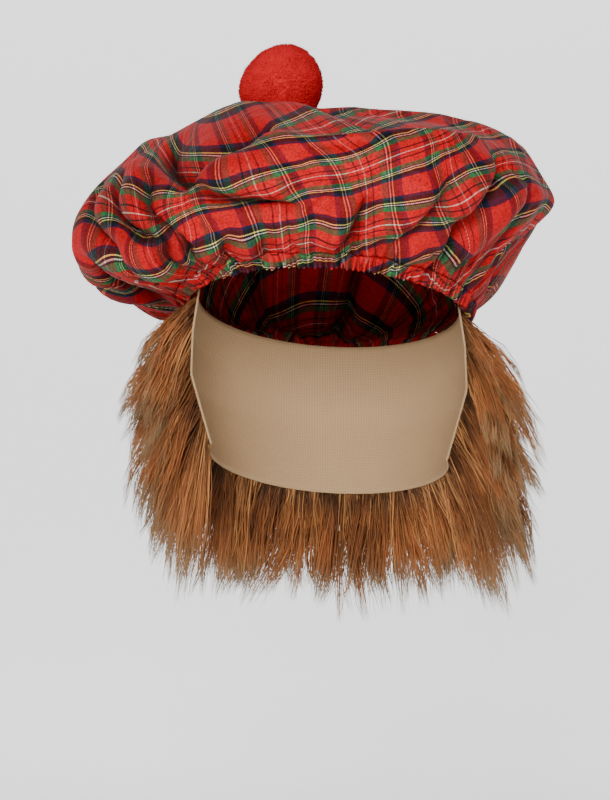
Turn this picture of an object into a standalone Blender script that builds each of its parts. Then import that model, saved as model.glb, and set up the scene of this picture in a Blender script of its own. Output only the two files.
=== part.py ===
"""A tartan tam o' shanter with a woollen pompom and a fringe of long fur hair, in its worn shape.

Metres, +Z up, the front of the hat towards -Y. The origin is the middle of the head opening. Azimuths are in
degrees about +Z: 0 is the front, 90 is +X, 180 is the back and 270 is -X.
"""

import math
import random
from collections import namedtuple

import bmesh
import bpy
from mathutils import Vector, noise

GAP = 0.0003  # between neighbouring pieces

# The head opening: an ellipse on a plane that climbs to the front and leans a little to one side.
HEAD_WIDTH = 0.167
HEAD_DEPTH = 0.196
RIM_CLIMB = 0.265  # metres up for each metre forward
RIM_LEAN = 0.060  # metres down for each metre to +X

# The crown: a round of thin cloth, puffed out over the head and gathered in to the hem.
CLOTH = 0.0015
CROWN_SEAT = Vector((-0.028, 0.008, 0.1095))  # where the pompom sits, at the bottom of a dimple
CROWN_COLUMNS = 84
CROWN_ROWS = 15
ROW_CROWDING = 0.8  # under 1, the rows lie closer together towards the hem
MERIDIAN = 0.235  # mean length of cloth from the seat to the hem
KNOTS = (0.0, 0.24, 0.50, 0.68, 0.84, 1.0)  # where along a meridian the rings of SECTIONS lie

RIM_FALL = 0.16  # how steeply the cloth drops into the hem, in metres for the whole meridian
RIM_TUCK = 0.3  # the share of its inward run that the cloth keeps at the hem
WAY_STEP = 0.004  # steps for the surface's slopes, along a meridian and in degrees across it
TURN_STEP = 0.5

# How far out from the middle, and how high, each ring of the crown is at each azimuth. The top ring lies
# round the pompom and is measured from it. The ridge is where the cloth turns over, the edge is the widest
# ring, and the under ring is where the cloth starts back to the hem.
Section = namedtuple(
    "Section", "azimuth top_out top_up ridge_out ridge_up edge_out edge_up under_out under_up"
)
SECTIONS = (
    Section(0, 0.050, 0.121, 0.113, 0.099, 0.122, 0.070, 0.110, 0.045),
    Section(30, 0.060, 0.121, 0.117, 0.102, 0.128, 0.072, 0.113, 0.046),
    Section(60, 0.078, 0.120, 0.115, 0.098, 0.132, 0.069, 0.105, 0.036),
    Section(90, 0.086, 0.118, 0.109, 0.102, 0.134, 0.069, 0.100, 0.028),
    Section(120, 0.078, 0.118, 0.112, 0.099, 0.138, 0.062, 0.117, 0.016),
    Section(150, 0.068, 0.119, 0.114, 0.099, 0.148, 0.048, 0.134, 0.002),
    Section(180, 0.060, 0.119, 0.114, 0.096, 0.152, 0.040, 0.138, -0.008),
    Section(210, 0.052, 0.119, 0.114, 0.096, 0.153, 0.042, 0.139, -0.003),
    Section(240, 0.040, 0.119, 0.112, 0.098, 0.150, 0.050, 0.141, 0.008),
    Section(270, 0.034, 0.119, 0.112, 0.099, 0.148, 0.053, 0.143, 0.018),
    Section(300, 0.040, 0.119, 0.117, 0.084, 0.140, 0.054, 0.126, 0.025),
    Section(330, 0.046, 0.121, 0.112, 0.089, 0.126, 0.061, 0.113, 0.038),
)

# Folds of the cloth. Each runs straight from one place to another, where "way" is the share of the meridian
# from the seat to the hem. Depth is how far its valley sinks, and lip how far the cloth stands up beside it:
# on the hem's side of a fold that runs to larger azimuths, and on the seat's side of one that runs to
# smaller azimuths.
Fold = namedtuple("Fold", "azimuth_a way_a azimuth_b way_b depth lip width")
FOLDS = (
    Fold(290, 0.40, 324, 0.60, 0.008, 0.004, 0.014),
    Fold(314, 0.60, 346, 0.38, 0.010, 0.005, 0.014),
    Fold(354, 0.72, 318, 0.61, 0.006, 0.005, 0.011),
    Fold(10, 0.68, 4, 0.94, 0.004, 0.004, 0.008),
    Fold(331, 0.78, 320, 0.98, 0.003, 0.003, 0.008),
    Fold(341, 0.80, 334, 0.99, 0.003, 0.003, 0.008),
    Fold(50, 0.54, 37, 0.84, 0.009, 0.005, 0.013),
    Fold(37, 0.74, 41, 0.98, 0.007, 0.003, 0.011),
    Fold(32, 0.60, 23, 0.90, 0.004, 0.004, 0.010),
    Fold(64, 0.62, 52, 0.96, 0.007, 0.004, 0.012),
    Fold(74, 0.78, 108, 0.96, 0.005, 0.002, 0.009),
    Fold(284, 0.54, 313, 0.80, 0.007, 0.004, 0.010),
    Fold(312, 0.72, 306, 0.95, 0.006, 0.003, 0.009),
    Fold(301, 0.52, 318, 0.80, 0.006, 0.004, 0.010),
    Fold(318, 0.74, 314, 0.96, 0.006, 0.003, 0.009),
    Fold(268, 0.58, 302, 0.80, 0.006, 0.003, 0.010),
    Fold(286, 0.80, 252, 0.96, 0.008, 0.004, 0.010),
    Fold(98, 0.44, 92, 0.80, 0.005, 0.003, 0.011),
    Fold(122, 0.58, 130, 0.95, 0.006, 0.003, 0.011),
    Fold(150, 0.52, 146, 0.90, 0.005, 0.003, 0.011),
    Fold(170, 0.62, 178, 0.97, 0.006, 0.003, 0.011),
    Fold(202, 0.54, 196, 0.92, 0.005, 0.003, 0.011),
    Fold(222, 0.60, 230, 0.96, 0.006, 0.003, 0.011),
    Fold(250, 0.46, 244, 0.82, 0.005, 0.003, 0.011),
    Fold(20, 0.20, 14, 0.52, 0.003, 0.002, 0.011),
    Fold(66, 0.22, 84, 0.56, 0.003, 0.003, 0.012),
    Fold(188, 0.22, 168, 0.56, 0.003, 0.003, 0.012),
    Fold(262, 0.24, 268, 0.52, 0.003, 0.002, 0.011),
)
FOLD_FADE = 0.3  # the share of a fold's run over which it dies out at each end
LIP_ASIDE = 1.4  # how many widths the lip stands beside the valley

# Gathers by the hem: wave trains of unlike counts, so that no two puckers are alike.
Gather = namedtuple("Gather", "count height phase")
GATHERS = (
    Gather(42, 0.0009, 0.8),
    Gather(31, 0.0006, 1.3),
    Gather(19, 0.0007, 4.1),
)
GATHER_START = 0.62

HEM_HEIGHT = 0.0085
HEM_OUT = 0.0010  # the hem stands proud of the crown's cloth
HEM_IN = 0.0024
Corner = namedtuple("Corner", "lift share")  # off the cloth, and down from the hem's top
HEM_SECTION = (
    Corner(HEM_OUT * 0.4, 0.0),
    Corner(HEM_OUT, 0.25),
    Corner(HEM_OUT, 0.75),
    Corner(HEM_OUT * 0.4, 1.0),
    Corner(-HEM_IN, 0.9),
    Corner(-HEM_IN, 0.1),
)

# The pompom: a ball of short wool tufts.
POMPOM_RADIUS = 0.0258
TUFT = 0.0014
TUFT_PATCH = 0.006  # how far apart longer and shorter wool lies

# The hair: a strip of long fur fabric hung inside the hem, from temple to temple round the back.
HAIR_START = 78.0
HAIR_END = 282.0
BACKING = 0.0016
BACKING_COLUMNS = 22
Hang = namedtuple("Hang", "drop out")  # the backing's offset from the head opening's ellipse as it falls
HANGS = (
    Hang(0.0, -0.0050),
    Hang(0.025, -0.001),
    Hang(0.050, 0.0),
    Hang(0.075, -0.007),
    Hang(0.092, -0.012),
)

# The pile stands in tiers of locks. Each lock leaves the backing at its lift, in degrees from straight down,
# which differs at the two sides and the back.
Tier = namedtuple("Tier", "drop count length width thick lift_right lift_back lift_left")
TIERS = (
    Tier(0.083, 11, 0.092, 0.042, 0.032, 43, 8, 25),
    Tier(0.059, 9, 0.086, 0.049, 0.034, 43, 18, 30),
    Tier(0.037, 9, 0.074, 0.049, 0.034, 46, 28, 38),
    Tier(0.018, 9, 0.062, 0.045, 0.034, 53, 38, 52),
)
LOCK_GIRTHS = (0.60, 0.92, 1.0, 0.72)  # at equal steps from the root to the tip, which is a point
PILE_INWARD = 0.012  # how far the pile below the backing spreads in towards the neck
PILE_SLANT = 0.4  # metres inward for each metre below the backing, up to PILE_INWARD
LOCK_DROOP = 0.75  # the share of its lift that a lock has lost by its tip
LOCK_SWAY = 0.3  # the most that a lock leans sideways by its tip, as a slope
LENGTH_SPREAD = (0.85, 1.12)
STAGGER = 0.2  # of a lock's width, one way in one tier and the other way in the next
CHANCE_SEED = 7


def smooth(share):
    share = min(max(share, 0.0), 1.0)
    return share * share * (3.0 - 2.0 * share)


def round_table(rows, column, azimuth):
    """A column of SECTIONS at any azimuth, on a smooth closed curve through its rows."""
    step = 360.0 / len(rows)
    place = (azimuth / step) % len(rows)
    first = int(place)
    share = place - first
    a, b, c, d = (getattr(rows[(first + k) % len(rows)], column) for k in (-1, 0, 1, 2))
    return b + 0.5 * share * (c - a + share * (2 * a - 5 * b + 4 * c - d + share * (3 * (b - c) + d - a)))


def rim_point(azimuth, out=0.0):
    """A point of the head opening, or one that lies further out in its plane."""
    angle = math.radians(azimuth)
    x = (HEAD_WIDTH / 2 + out) * math.sin(angle)
    y = -(HEAD_DEPTH / 2 + out) * math.cos(angle)
    return Vector((x, y, -RIM_CLIMB * y - RIM_LEAN * x))


def meridian_points(azimuth):
    """The rings of the crown at an azimuth, from the seat to the hem's edge."""
    angle = math.radians(azimuth)
    out = Vector((math.sin(angle), -math.cos(angle), 0.0))
    points = [CROWN_SEAT]
    for ring in ("top", "ridge", "edge", "under"):
        middle = Vector((CROWN_SEAT.x, CROWN_SEAT.y, 0.0)) if ring == "top" else Vector()
        reach = round_table(SECTIONS, ring + "_out", azimuth)
        height = round_table(SECTIONS, ring + "_up", azimuth)
        points.append(middle + reach * out + Vector((0, 0, height)))
    points.append(rim_point(azimuth))
    return points


def crown_base(azimuth, way):
    """The crown's smooth surface, before folds and gathers."""
    points = meridian_points(azimuth)
    inner = range(1, len(KNOTS) - 1)
    slopes = [(points[k + 1] - points[k - 1]) / (KNOTS[k + 1] - KNOTS[k - 1]) for k in inner]
    first = (points[1] - points[0]) / KNOTS[1]
    last = (points[-1] - points[-2]) / (KNOTS[-1] - KNOTS[-2])
    slopes.insert(0, Vector((first.x, first.y, 0.0)))
    slopes.append(Vector((last.x * RIM_TUCK, last.y * RIM_TUCK, -RIM_FALL)))
    k = max(i for i in range(len(KNOTS) - 1) if KNOTS[i] <= way or i == 0)
    span = KNOTS[k + 1] - KNOTS[k]
    s = (way - KNOTS[k]) / span
    return (
        points[k] * (1 + 2 * s) * (1 - s) ** 2
        + slopes[k] * span * s * (1 - s) ** 2
        + points[k + 1] * s * s * (3 - 2 * s)
        - slopes[k + 1] * span * s * s * (1 - s)
    )


def crown_normal(azimuth, way):
    """The outward direction of the smooth crown."""
    way = min(max(way, 0.02), 0.995)
    along = crown_base(azimuth, way + WAY_STEP) - crown_base(azimuth, way - WAY_STEP)
    across = crown_base(azimuth + TURN_STEP, way) - crown_base(azimuth - TURN_STEP, way)
    return along.cross(across).normalized()


def fold_relief(azimuth, way, radius):
    """How far the folds lift or sink the cloth at a place."""
    relief = 0.0
    for fold in FOLDS:
        turn = (azimuth - fold.azimuth_a + 180.0) % 360.0 - 180.0
        run_turn = (fold.azimuth_b - fold.azimuth_a + 180.0) % 360.0 - 180.0
        here = Vector((math.radians(turn) * radius, (way - fold.way_a) * MERIDIAN))
        run = Vector((math.radians(run_turn) * radius, (fold.way_b - fold.way_a) * MERIDIAN))
        share = here.dot(run) / run.dot(run)
        if not 0.0 < share < 1.0:
            continue
        side = (run.x * here.y - run.y * here.x) / (run.length * fold.width)
        ends = smooth(share / FOLD_FADE) * smooth((1.0 - share) / FOLD_FADE)
        lip = fold.lip * math.exp(-((side - LIP_ASIDE) ** 2))
        relief += ends * (lip - fold.depth * math.exp(-(side**2)))
    return relief


def gather_relief(azimuth, way):
    """The puckers that grow towards the hem."""
    rise = smooth((way - GATHER_START) / (1.0 - GATHER_START))
    angle = math.radians(azimuth)
    return rise * sum(g.height * math.sin(g.count * angle + g.phase) for g in GATHERS)


def crown_point(azimuth, way, lift=0.0):
    base = crown_base(azimuth, way)
    radius = math.hypot(base.x, base.y)
    relief = fold_relief(azimuth, way, radius) + gather_relief(azimuth, way)
    return base + crown_normal(azimuth, way) * (relief + lift)


def hem_way(azimuth, height):
    """The share of the meridian that lies this far above the hem's edge."""
    near = 0.03
    speed = (crown_base(azimuth, 1.0) - crown_base(azimuth, 1.0 - near)).length / near
    return 1.0 - height / speed


def add_object(name, bm, collection, material):
    mesh = bpy.data.meshes.new(name)
    bm.to_mesh(mesh)
    bm.free()
    obj = bpy.data.objects.new(name, mesh)
    mesh.materials.append(material)
    collection.objects.link(obj)
    return obj


def apply_modifiers(obj):
    """Gives the object the mesh that its modifiers make."""
    graph = bpy.context.evaluated_depsgraph_get()
    made = bpy.data.meshes.new_from_object(obj.evaluated_get(graph))
    obj.modifiers.clear()
    old = obj.data
    obj.data = made
    bpy.data.meshes.remove(old)


def make_material(name, colour, roughness):
    material = bpy.data.materials.new(name)
    material.use_nodes = True
    shader = material.node_tree.nodes["Principled BSDF"]
    shader.inputs["Base Color"].default_value = (*colour, 1.0)
    shader.inputs["Roughness"].default_value = roughness
    shader.inputs["Metallic"].default_value = 0.0
    return material


def make_crown(collection):
    """An open surface, closed at the seat and open at the hem, with the cloth's thickness added inwards."""
    bm = bmesh.new()
    seat = bm.verts.new(CROWN_SEAT)
    rows = []
    for row in range(1, CROWN_ROWS + 1):
        ring = []
        for column in range(CROWN_COLUMNS):
            azimuth = 360.0 * column / CROWN_COLUMNS
            way = hem_way(azimuth, HEM_HEIGHT + GAP) * (row / CROWN_ROWS) ** ROW_CROWDING
            ring.append(bm.verts.new(crown_point(azimuth, way)))
        rows.append(ring)
    for column in range(CROWN_COLUMNS):
        after = (column + 1) % CROWN_COLUMNS
        bm.faces.new((seat, rows[0][column], rows[0][after]))
        for upper, lower in zip(rows, rows[1:]):
            bm.faces.new((upper[column], lower[column], lower[after], upper[after]))
    bmesh.ops.recalc_face_normals(bm, faces=bm.faces)
    crown = add_object("crown", bm, collection, make_material("tartan cloth", (0.62, 0.05, 0.04), 0.7))
    solidify = crown.modifiers.new("cloth", "SOLIDIFY")
    solidify.thickness = CLOTH
    solidify.offset = -1.0
    crown.data.shade_smooth()
    return crown


def make_gathered_hem(collection):
    """A ring of rounded section that carries on from the crown's edge down to the opening."""
    bm = bmesh.new()
    rings = []
    for column in range(CROWN_COLUMNS):
        azimuth = 360.0 * column / CROWN_COLUMNS
        ring = []
        for corner in HEM_SECTION:
            way = hem_way(azimuth, HEM_HEIGHT * (1.0 - corner.share))
            ring.append(bm.verts.new(crown_point(azimuth, way, corner.lift)))
        rings.append(ring)
    for ring, after in zip(rings, rings[1:] + rings[:1]):
        for k in range(len(HEM_SECTION)):
            m = (k + 1) % len(HEM_SECTION)
            bm.faces.new((ring[k], ring[m], after[m], after[k]))
    bmesh.ops.recalc_face_normals(bm, faces=bm.faces)
    hem = add_object("gathered_hem", bm, collection, make_material("gathered edge", (0.60, 0.06, 0.05), 0.75))
    hem.data.shade_smooth()
    return hem


def make_pompom(collection):
    """A ball whose facets are drawn out into short tufts."""
    bm = bmesh.new()
    bmesh.ops.create_icosphere(bm, subdivisions=3, radius=POMPOM_RADIUS - TUFT)
    tips = bmesh.ops.poke(bm, faces=bm.faces)["verts"]
    for tip in tips:
        short = TUFT * 0.5 * (1.0 + noise.noise(tip.co / TUFT_PATCH))
        tip.co = tip.co.normalized() * (POMPOM_RADIUS - short)
    pompom = add_object("pompom", bm, collection, make_material("wool", (0.60, 0.03, 0.03), 0.95))
    pompom.location = CROWN_SEAT + Vector((0, 0, POMPOM_RADIUS + GAP))
    return pompom


def hang_out(drop):
    """The backing's offset from the opening's ellipse at a drop, straight between the rows of HANGS."""
    for upper, lower in zip(HANGS, HANGS[1:]):
        if drop <= lower.drop:
            share = (drop - upper.drop) / (lower.drop - upper.drop)
            return upper.out + (lower.out - upper.out) * share
    return HANGS[-1].out


def backing_point(azimuth, drop):
    point = rim_point(azimuth, hang_out(drop))
    point.z = rim_point(azimuth).z + HEM_HEIGHT * 0.5 - drop
    return point


def make_backing(collection, material):
    bm = bmesh.new()
    drops = [hang.drop for hang in HANGS]
    rows = []
    for drop in drops:
        row = []
        for column in range(BACKING_COLUMNS + 1):
            azimuth = HAIR_START + (HAIR_END - HAIR_START) * column / BACKING_COLUMNS
            row.append(bm.verts.new(backing_point(azimuth, drop)))
        rows.append(row)
    for upper, lower in zip(rows, rows[1:]):
        for column in range(BACKING_COLUMNS):
            bm.faces.new((upper[column], lower[column], lower[column + 1], upper[column + 1]))
    hair = add_object("hair", bm, collection, material)
    solidify = hair.modifiers.new("knit", "SOLIDIFY")
    solidify.thickness = BACKING
    solidify.offset = 0.0
    apply_modifiers(hair)
    return hair


def backing_room(azimuth, place, out):
    """A place of a lock's inner side, moved out where it would come through the backing or crowd the neck."""
    drop = rim_point(azimuth).z + HEM_HEIGHT * 0.5 - place.z
    inward = min(PILE_INWARD, max(0.0, drop - HANGS[-1].drop) * PILE_SLANT)
    short = (backing_point(azimuth, drop) - place).dot(out) - inward
    return place + out * max(0.0, short)


def lock_lift(tier, azimuth):
    """A tier's lift at an azimuth, between its lifts at +X, at the back and at -X."""
    turn = (azimuth - 180.0) / 90.0
    side = tier.lift_left if turn > 0 else tier.lift_right
    return math.radians(tier.lift_back + (side - tier.lift_back) * smooth(abs(turn)))


def make_lock(name, tier, azimuth, length, sway, cutters, material):
    """One lock of pile: a flat tapered spindle that lifts off the backing, where its root lies flat in the
    knit, and bends down to its tip."""
    angle = math.radians(azimuth)
    out = Vector((math.sin(angle), -math.cos(angle), 0.0))
    side = Vector((math.cos(angle), math.sin(angle), 0.0))
    point = backing_point(azimuth, tier.drop)
    bm = bmesh.new()
    rings = []
    step = length / len(LOCK_GIRTHS)
    for ring, girth in enumerate(LOCK_GIRTHS):
        share = ring / len(LOCK_GIRTHS)
        lift = lock_lift(tier, azimuth) * (1.0 - LOCK_DROOP * share)
        along = (out * math.sin(lift) + Vector((0, 0, -math.cos(lift))) + side * sway * share).normalized()
        face = along.cross(side).normalized()
        wide = side * tier.width * 0.5 * girth
        thick = (face if ring else Vector((0, 0, 1))) * tier.thick * 0.5 * girth
        inner = backing_room(azimuth, point - thick, out)
        rings.append([bm.verts.new(place) for place in (point + wide, point + thick, point - wide, inner)])
        point = point + along * step
    tip = bm.verts.new(point)
    bm.faces.new(rings[0])
    for ring, after in zip(rings, rings[1:]):
        for k in range(4):
            bm.faces.new((ring[k], ring[(k + 1) % 4], after[(k + 1) % 4], after[k]))
    for k in range(4):
        bm.faces.new((rings[-1][k], rings[-1][(k + 1) % 4], tip))
    bmesh.ops.recalc_face_normals(bm, faces=bm.faces)
    bmesh.ops.triangulate(bm, faces=bm.faces)
    lock = add_object(name, bm, cutters, material)
    lock.hide_render = True
    lock.display_type = "WIRE"
    return lock


def make_hair(collection, cutters):
    """The knitted backing with its pile, one piece of fur fabric."""
    material = make_material("fur pile", (0.30, 0.13, 0.05), 0.6)
    hair = make_backing(collection, material)
    chance = random.Random(CHANCE_SEED)
    for number, tier in enumerate(TIERS):
        for k in range(tier.count):
            place = (k + 0.5 + (STAGGER if number % 2 else -STAGGER)) / tier.count
            azimuth = HAIR_START + (HAIR_END - HAIR_START) * place
            length = tier.length * chance.uniform(*LENGTH_SPREAD)
            sway = chance.uniform(-LOCK_SWAY, LOCK_SWAY)
            make_lock(f"lock_{number}_{k}", tier, azimuth, length, sway, cutters, material)
    union = hair.modifiers.new("pile", "BOOLEAN")
    union.operation = "UNION"
    union.operand_type = "COLLECTION"
    union.collection = cutters
    return hair


def main():
    for obj in list(bpy.data.objects):
        bpy.data.objects.remove(obj)
    scene = bpy.context.scene
    collection = bpy.data.collections.new("tam_o_shanter")
    cutters = bpy.data.collections.new("locks")
    scene.collection.children.link(collection)
    scene.collection.children.link(cutters)
    make_crown(collection)
    make_gathered_hem(collection)
    make_pompom(collection)
    make_hair(collection, cutters)


main()
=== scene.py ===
"""Dresses a tartan tam o' shanter: its woven cloth, ruffled hem, woollen pompom and long fur hair.

Metres, +Z up, the front of the hat towards -Y. Azimuths are in degrees about +Z: 0 is the front, 90 is +X,
180 is the back and 270 is -X. "Way" is the share of the crown's cloth from the seat of the pompom to the hem.
"""

import math
from collections import namedtuple

import bpy
import numpy as np
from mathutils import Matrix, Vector, noise


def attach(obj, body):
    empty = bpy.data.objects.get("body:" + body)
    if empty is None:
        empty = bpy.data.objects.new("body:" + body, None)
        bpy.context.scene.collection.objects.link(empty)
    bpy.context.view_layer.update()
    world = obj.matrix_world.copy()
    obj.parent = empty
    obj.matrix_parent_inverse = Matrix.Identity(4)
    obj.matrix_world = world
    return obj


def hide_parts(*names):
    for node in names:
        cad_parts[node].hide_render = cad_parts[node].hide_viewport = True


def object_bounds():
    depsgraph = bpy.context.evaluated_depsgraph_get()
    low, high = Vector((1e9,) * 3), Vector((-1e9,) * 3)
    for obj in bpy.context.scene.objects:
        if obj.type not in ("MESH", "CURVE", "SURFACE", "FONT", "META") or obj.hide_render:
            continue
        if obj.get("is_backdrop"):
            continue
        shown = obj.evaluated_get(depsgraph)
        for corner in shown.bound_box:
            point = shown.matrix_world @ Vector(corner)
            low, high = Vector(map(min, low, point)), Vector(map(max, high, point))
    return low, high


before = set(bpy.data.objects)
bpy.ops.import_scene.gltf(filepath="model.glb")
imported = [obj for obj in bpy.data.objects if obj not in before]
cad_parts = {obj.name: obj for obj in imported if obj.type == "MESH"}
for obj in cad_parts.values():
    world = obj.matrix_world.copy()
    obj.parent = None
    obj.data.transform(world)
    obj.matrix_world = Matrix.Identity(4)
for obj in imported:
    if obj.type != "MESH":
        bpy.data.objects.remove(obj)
CAD_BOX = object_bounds()

bl_info = {
    "name": "Tam o shanter",
    "version": (1, 0, 0),
    "blender": (4, 5, 0),
    "location": "View3D > Sidebar > Tam",
    "description": "Tartan crown, ruffled hem, woollen pompom and long fur hair for a tam o' shanter",
    "category": "Object",
}

# The shapes that the solids have too. The rim climbs to the front and falls to +X by so much in each metre.
GAP = 0.0003
HEAD_WIDTH = 0.167
HEAD_DEPTH = 0.196
RIM_CLIMB = 0.265
RIM_LEAN = 0.060
CROWN_SEAT = np.array((-0.028, 0.008, 0.1095))
MERIDIAN = 0.235
KNOTS = np.array((0.0, 0.24, 0.50, 0.68, 0.84, 1.0))  # the ways of the seat, the rings and the hem
RIM_FALL = 0.16
RIM_TUCK = 0.3
HEM_HEIGHT = 0.0085
HEM_RADIUS = 0.092
POMPOM_RADIUS = 0.0258
HAIR_START = 78.0
HAIR_END = 282.0
HAIR_DROP = 0.092
ROW_CURVE = 0.85  # the crown's rows lie closer together at the hem
# The steps over which slopes are measured.
WAY_STEP = 0.004
TURN_STEP = 0.5

# How far out and how high each ring of the crown is, at every 30 degrees from the front: top out, top up,
# ridge out, ridge up, edge out, edge up, under out, under up.
SECTIONS = np.array(
    (
        (0.050, 0.121, 0.113, 0.099, 0.122, 0.070, 0.110, 0.045),
        (0.060, 0.121, 0.117, 0.102, 0.128, 0.072, 0.113, 0.046),
        (0.078, 0.120, 0.115, 0.098, 0.132, 0.069, 0.105, 0.036),
        (0.086, 0.118, 0.109, 0.102, 0.134, 0.069, 0.100, 0.028),
        (0.078, 0.118, 0.112, 0.099, 0.138, 0.062, 0.117, 0.016),
        (0.068, 0.119, 0.114, 0.099, 0.148, 0.048, 0.134, 0.002),
        (0.060, 0.119, 0.114, 0.096, 0.152, 0.040, 0.138, -0.008),
        (0.052, 0.119, 0.114, 0.096, 0.153, 0.042, 0.139, -0.003),
        (0.040, 0.119, 0.112, 0.098, 0.150, 0.050, 0.141, 0.008),
        (0.034, 0.119, 0.112, 0.099, 0.148, 0.053, 0.143, 0.018),
        (0.040, 0.119, 0.117, 0.084, 0.140, 0.054, 0.126, 0.025),
        (0.046, 0.121, 0.112, 0.089, 0.126, 0.061, 0.113, 0.038),
    )
)

Fold = namedtuple("Fold", "azimuth_a way_a azimuth_b way_b depth lip width")
FOLDS = (
    Fold(290, 0.40, 324, 0.60, 0.008, 0.004, 0.014),
    Fold(314, 0.60, 346, 0.38, 0.010, 0.005, 0.014),
    Fold(354, 0.72, 318, 0.61, 0.006, 0.005, 0.011),
    Fold(10, 0.68, 4, 0.94, 0.004, 0.004, 0.008),
    Fold(331, 0.78, 320, 0.98, 0.003, 0.003, 0.008),
    Fold(341, 0.80, 334, 0.99, 0.003, 0.003, 0.008),
    Fold(50, 0.54, 37, 0.84, 0.009, 0.005, 0.013),
    Fold(37, 0.74, 41, 0.98, 0.007, 0.003, 0.011),
    Fold(32, 0.60, 23, 0.90, 0.004, 0.004, 0.010),
    Fold(64, 0.62, 52, 0.96, 0.007, 0.004, 0.012),
    Fold(74, 0.78, 108, 0.96, 0.005, 0.002, 0.009),
    Fold(284, 0.54, 313, 0.80, 0.007, 0.004, 0.010),
    Fold(312, 0.72, 306, 0.95, 0.006, 0.003, 0.009),
    Fold(301, 0.52, 318, 0.80, 0.006, 0.004, 0.010),
    Fold(318, 0.74, 314, 0.96, 0.006, 0.003, 0.009),
    Fold(268, 0.58, 302, 0.80, 0.006, 0.003, 0.010),
    Fold(286, 0.80, 252, 0.96, 0.008, 0.004, 0.010),
    Fold(98, 0.44, 92, 0.80, 0.005, 0.003, 0.011),
    Fold(122, 0.58, 130, 0.95, 0.006, 0.003, 0.011),
    Fold(150, 0.52, 146, 0.90, 0.005, 0.003, 0.011),
    Fold(170, 0.62, 178, 0.97, 0.006, 0.003, 0.011),
    Fold(202, 0.54, 196, 0.92, 0.005, 0.003, 0.011),
    Fold(222, 0.60, 230, 0.96, 0.006, 0.003, 0.011),
    Fold(250, 0.46, 244, 0.82, 0.005, 0.003, 0.011),
    Fold(20, 0.20, 14, 0.52, 0.003, 0.002, 0.011),
    Fold(66, 0.22, 84, 0.56, 0.003, 0.003, 0.012),
    Fold(188, 0.22, 168, 0.56, 0.003, 0.003, 0.012),
    Fold(262, 0.24, 268, 0.52, 0.003, 0.002, 0.011),
)
FOLD_FADE = 0.3
# Across a fold, all is measured in its own width. The folds here are deeper than the solid's and creased at
# the bottom, and their lips slide over their valleys.
LIP_ASIDE = 1.4
FOLD_FORCE = 1.45
VALLEY_CREASE, VALLEY_SHARPNESS, VALLEY_ROUND = 0.72, 2.6, 0.40
FOLD_SLIDE, SLIDE_ASIDE, SLIDE_BREADTH = 0.75, 0.9, 0.5
# The cloth's colour is darkened in the folds with painted shade: how sharply, and how deep a fold and a
# crease are that shade it in full.
SHADE_SHARPNESS, SHADE_FOLD, SHADE_CREASE = 2.4, 0.0055, 0.004
# Sharp edges of the crown's top: azimuths, ways, height and width.
RIDGES = (
    ((340, 348, 358, 8, 20, 34, 50), (0.47, 0.49, 0.50, 0.50, 0.49, 0.50, 0.52), 0.0042, 0.008),
    ((284, 292, 300, 314), (0.50, 0.53, 0.55, 0.58), 0.0036, 0.008),
)
RIDGE_FADE = 9.0

# Broad places where the cloth stands fuller or lies flatter than the solid.
Swell = namedtuple("Swell", "azimuth way height turn reach")
SWELLS = (
    Swell(88, 0.62, -0.0068, 26, 0.085),
    Swell(256, 0.42, -0.0060, 22, 0.085),
    Swell(274, 0.48, 0.0034, 12, 0.050),
    Swell(269, 0.62, 0.0038, 16, 0.055),
    Swell(267, 0.81, -0.0050, 20, 0.060),
    Swell(243, 0.91, 0.0042, 11, 0.045),
)

# Gathers by the hem: wave trains of unlike counts.
Gather = namedtuple("Gather", "count height phase start")
GATHERS = (
    Gather(42, 0.0009, 0.8, 0.62),
    Gather(31, 0.0006, 1.3, 0.62),
    Gather(19, 0.0007, 4.1, 0.62),
)
# Small creases that run up from the hem: how far apart they are at each turn from the front. They lie closer
# together at the temples than at the front.
CREASE_TURNS = (0, 30, 45, 70, 100, 180)
CREASE_PITCHES = (0.0075, 0.0075, 0.0034, 0.0034, 0.0056, 0.0056)
CREASE_LEAN, CREASE_RISE, CREASE_SHARPNESS = 14.0, 1.4, 1.2

# The slack of the cloth, which makes it buckle between its folds, and how far it may move.
BUCKLE_SLACK = 0.05
BUCKLE_STIFFNESS = 0.15
BUCKLE_PRESSURE = 0.4
BUCKLE_FRAMES = 20
BUCKLE_CAP = 0.004

# How far out from the rim the hair's backing hangs at each drop.
HANG_DROPS = (0.0, 0.025, 0.050, 0.075, HAIR_DROP)
HANG_OUTS = (-0.0050, -0.001, 0.0, -0.007, -0.012)

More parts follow.
